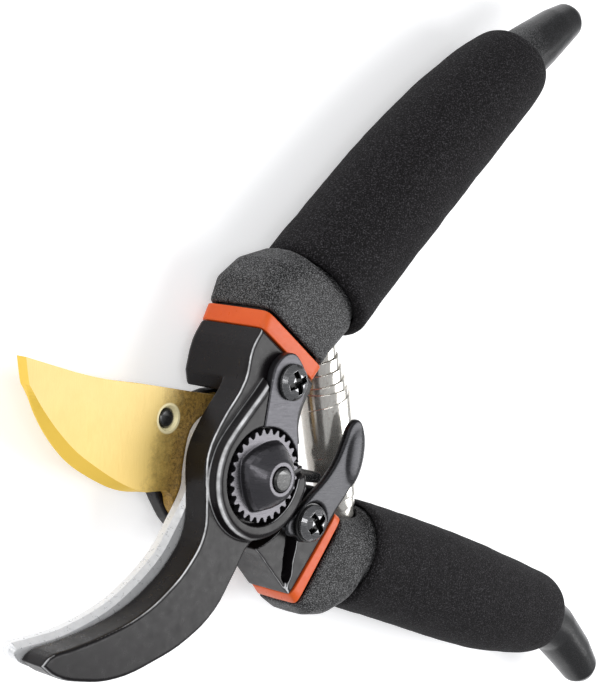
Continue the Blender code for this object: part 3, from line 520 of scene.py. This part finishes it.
# Handle centre lines: start, direction and outer side in degrees. The rows of the foam's
# outside and inside are (distance along the line, diameter, shift to the outer side).
UPPER_LINE = ((8.3, -9.9), 220.1, 310.1)
LOWER_LINE = ((2.9, 8.5), 161.1, 71.1)
UPPER_FOAM = [(41, 26.0, -0.2), (43.5, 26.8, 0.0), (55, 26.4, 0.5), (78, 26.2, 1.0), (97, 25.0, 0.6)]
UPPER_FOAM += [(113, 23.0, -0.4), (123, 20.8, -1.4), (127.5, 18.0, -1.8)]
UPPER_CORE = [(41, 21.7, 0), (60, 20.7, 0), (90, 20.2, 0), (112, 17.7, 0)]
UPPER_CORE += [(124, 15.3, -1.4), (127.5, 15.1, -1.8)]
LOWER_FOAM = [(41.5, 23.6, 0.4), (44, 24.6, 0.4), (55, 25.0, 0.4), (78, 25.4, 0.6), (97, 24.8, 1.0)]
LOWER_FOAM += [(111, 22.8, 0.8), (119, 20.8, 0.4), (123, 18.2, 0.2)]
LOWER_CORE = [(41.5, 21.7, 0), (60, 20.7, 0), (90, 20.2, 0), (110, 17.7, 0)]
LOWER_CORE += [(120, 15.3, 0), (123, 15.1, 0.2)]
END_ROUND = 1.9              # rounding of the foam's cut ends
END_STEPS = 7
BODY_STEPS = 130
AROUND = 112                 # points round a ring
UNEVEN = 0.16                # depth of the foam's slow unevenness


def foam_grip(name, line, foam_rows, core_rows, seed):
    """Foam tube with rolled ends, slightly uneven as pulled over the handle."""
    start, along, out = line
    start = Vector((*start, 0))
    along = Vector((math.cos(math.radians(along)), math.sin(math.radians(along)), 0))
    out = Vector((math.cos(math.radians(out)), math.sin(math.radians(out)), 0))
    outside = dense(foam_rows, 8)
    inside = dense(core_rows, 8)
    first, last = foam_rows[0][0], foam_rows[-1][0]
    roll = [END_ROUND * (1 - math.cos(math.pi / 2 * k / END_STEPS)) for k in range(END_STEPS + 1)]
    straight = last - first - 2 * END_ROUND
    steps = [first + r for r in roll]
    steps += [first + END_ROUND + straight * k / BODY_STEPS for k in range(1, BODY_STEPS)]
    steps += [last - r for r in reversed(roll)]
    rings = []

    def ring(distance, radius, shift, rough):
        centre = start + along * distance + out * shift
        points = []
        for k in range(AROUND):
            a = math.tau * k / AROUND
            side = out * math.cos(a) + Vector((0, 0, math.sin(a)))
            p = centre + side * radius
            wander = fractal.fractal(p * 0.11 + Vector((seed, 0, 0)), 1.0, 2.0, 3) - 0.1
            p += side * rough * wander
            points.append((p.x * MM, p.y * MM, height(p.z + HANDLE_MID)))
        return points

    for d in steps:
        _, diameter, shift = at_distance(outside, d)
        _, core, core_shift = at_distance(inside, d)
        reach = min(1.0, (d - first) / END_ROUND, (last - d) / END_ROUND)
        share = math.sqrt(max(0.0, 1 - (1 - reach) ** 2))
        radius = core / 2 + 0.05 + (diameter - core) / 2 * (0.35 + 0.65 * share)
        rings.append(ring(d, radius, shift * share + core_shift * (1 - share), UNEVEN * share))
    for d in (last, (first + last) / 2, first):
        _, core, core_shift = at_distance(inside, d)
        rings.append(ring(d, core / 2, core_shift, 0.0))
    return ring_body(name, rings, FOAM)


upper = foam_grip("upper_foam_grip", UPPER_LINE, UPPER_FOAM, UPPER_CORE, 3.0)
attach(upper, "hook_side")
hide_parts("upper_grip")

lower = foam_grip("lower_foam_grip", LOWER_LINE, LOWER_FOAM, LOWER_CORE, 8.0)
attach(lower, "blade_side")
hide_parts("lower_grip")


# Volute spring: one long strip, narrow at both seats and widest in the plain middle.
SPRING_TOP = Vector((-25.4, -28.2, HANDLE_MID))
SPRING_FOOT = Vector((-36.2, 17.2, HANDLE_MID))
SPRING_TURNS = 6             # in each half
BAND_TURNS = 1.5             # plain turns in the middle
SPRING_SMALL = 2.5           # radius at the seats
SPRING_BIG = 5.35            # radius of the middle
STRIP_TALL = 6.4             # height of the strip at the seats
BAND_TALL = 11.4             # and in the middle
BAND_LAP = 1.2               # how far the middle turns are drawn apart, each way
GROWTH = 0.86                # share of a half after which the strip grows taller
FIRST_TURN = 2.2             # angle where the strip starts, radians
STEPS = 72                   # per turn


def volute_spring():
    """The strip's section carried round the coil, then closed at both ends."""
    line = SPRING_FOOT - SPRING_TOP
    length = line.length
    axis = line.normalized()
    side = Vector((axis.y, -axis.x, 0))
    deep = axis.cross(side)
    middle_point = (SPRING_TOP + SPRING_FOOT) / 2
    # (radial offset, height share) round the strip's section; the outer face is flat with
    # small rounded edges.
    outline = [(0.0, -0.5), (0.0, 0.0), (0.0, 0.5), (0.18, 0.503), (0.33, 0.498), (0.36, 0.48)]
    outline += [(0.365, 0.2), (0.365, -0.2), (0.36, -0.48), (0.33, -0.498), (0.18, -0.503)]
    total = SPRING_TURNS * STEPS
    middle = int(BAND_TURNS * STEPS)
    reach = length / 2 - STRIP_TALL - BAND_LAP
    verts = []
    for k in range(2 * total + middle + 1):
        if k <= total:
            t = k / total
            along = -length / 2 + STRIP_TALL / 2 + reach * t
        elif k <= total + middle:
            t = 1.0
            along = (2 * (k - total) / middle - 1) * (STRIP_TALL / 2 + BAND_LAP)
        else:
            t = (2 * total + middle - k) / total
            along = length / 2 - STRIP_TALL / 2 - reach * t
        tall = STRIP_TALL + (BAND_TALL - STRIP_TALL) * max(0.0, t - GROWTH) / (1 - GROWTH)
        radius = SPRING_SMALL + (SPRING_BIG - SPRING_SMALL) * t**0.85
        angle = math.tau * k / STEPS + FIRST_TURN
        spoke = side * math.cos(angle) + deep * math.sin(angle)
        for outwards, share in outline:
            p = middle_point + axis * (along + share * tall) + spoke * (radius + outwards)
            verts.append((p.x * MM, p.y * MM, height(p.z)))
    count = len(outline)
    rows = len(verts) // count
    faces = []
    for a in range(0, (rows - 1) * count, count):
        for i in range(count):
            j = (i + 1) % count
            faces.append((a + i, a + j, a + count + j, a + count + i))
    faces.append(tuple(reversed(range(count))))
    faces.append(tuple(range((rows - 1) * count, rows * count)))
    return new_piece("volute_strip", verts, faces, CHROME)


strip = volute_spring()
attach(strip, "blade_side")
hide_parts("spring")
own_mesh(strip)

# ---------------------------------------------------------------- stage
# Camera at the picture's viewing angle: its place in metres and its own directions.
EYE = Vector((0.28420, -0.07231, 0.29851))
RIGHT = Vector((-0.68698, -0.04887, 0.72503))
UP = Vector((-0.04806, -0.99250, -0.11244))
BACK = Vector((0.72508, -0.11209, 0.67948))
LENS = 101.12

camera_data = bpy.data.cameras.new("camera")
camera_data.lens = LENS
camera_data.sensor_width = 36
camera_data.clip_start = 0.01
camera_data.clip_end = 20
camera = bpy.data.objects.new("camera", camera_data)
bpy.context.scene.collection.objects.link(camera)
turned = Matrix((RIGHT, UP, BACK)).transposed()
camera.matrix_world = Matrix.Translation(EYE) @ turned.to_4x4()
bpy.context.scene.camera = camera

floor_mesh = bpy.data.meshes.new("floor")
FLOOR_HALF = 3
FLOOR_DROP = -0.0003         # just under the upper foam grip, the lowest piece
corners = [(x * FLOOR_HALF, y * FLOOR_HALF, 0) for x, y in ((-1, -1), (1, -1), (1, 1), (-1, 1))]
floor_mesh.from_pydata(corners, [], [(0, 1, 2, 3)])
floor = bpy.data.objects.new("floor", floor_mesh)
floor.location.z = FLOOR_DROP
bpy.context.scene.collection.objects.link(floor)
paper = Paint("pale_paper", (0.84, 0.84, 0.85), 0.9,
              Emission_Color=(1, 1, 1, 1), Emission_Strength=0.42)
floor_mesh.materials.append(paper.mat)

world = bpy.data.worlds.new("studio")
bpy.context.scene.world = world
world.use_nodes = True
background = world.node_tree.nodes["Background"]
background.inputs["Color"].default_value = (0.95, 0.97, 1.0, 1)
background.inputs["Strength"].default_value = 0.42

CENTRE = Vector((-0.02, -0.015, 0.015))   # point the lamps are aimed at


def lamp(name, right, up, back, size, power, shape=1.0):
    """Soft box at a place given along the camera's directions, in metres, aimed at the object.

    shape is its height over its width.
    """
    data = bpy.data.lights.new(name, "AREA")
    data.shape = "RECTANGLE"
    data.size = size
    data.size_y = size * shape
    data.energy = power
    obj = bpy.data.objects.new(name, data)
    bpy.context.scene.collection.objects.link(obj)
    place = CENTRE + RIGHT * right + UP * up + BACK * back
    obj.location = place
    obj.rotation_mode = "QUATERNION"
    obj.rotation_quaternion = (CENTRE - place).to_track_quat("-Z", "Y")


lamp("key", -0.35, 0.75, 0.5, 0.9, 3.0)
lamp("side", 0.75, -0.12, 0.0, 0.42, 4.8, 1.4)
lamp("front", 0.08, 0.05, 0.9, 0.17, 2.6, 5.0)

bpy.context.scene.view_settings.view_transform = "Standard"
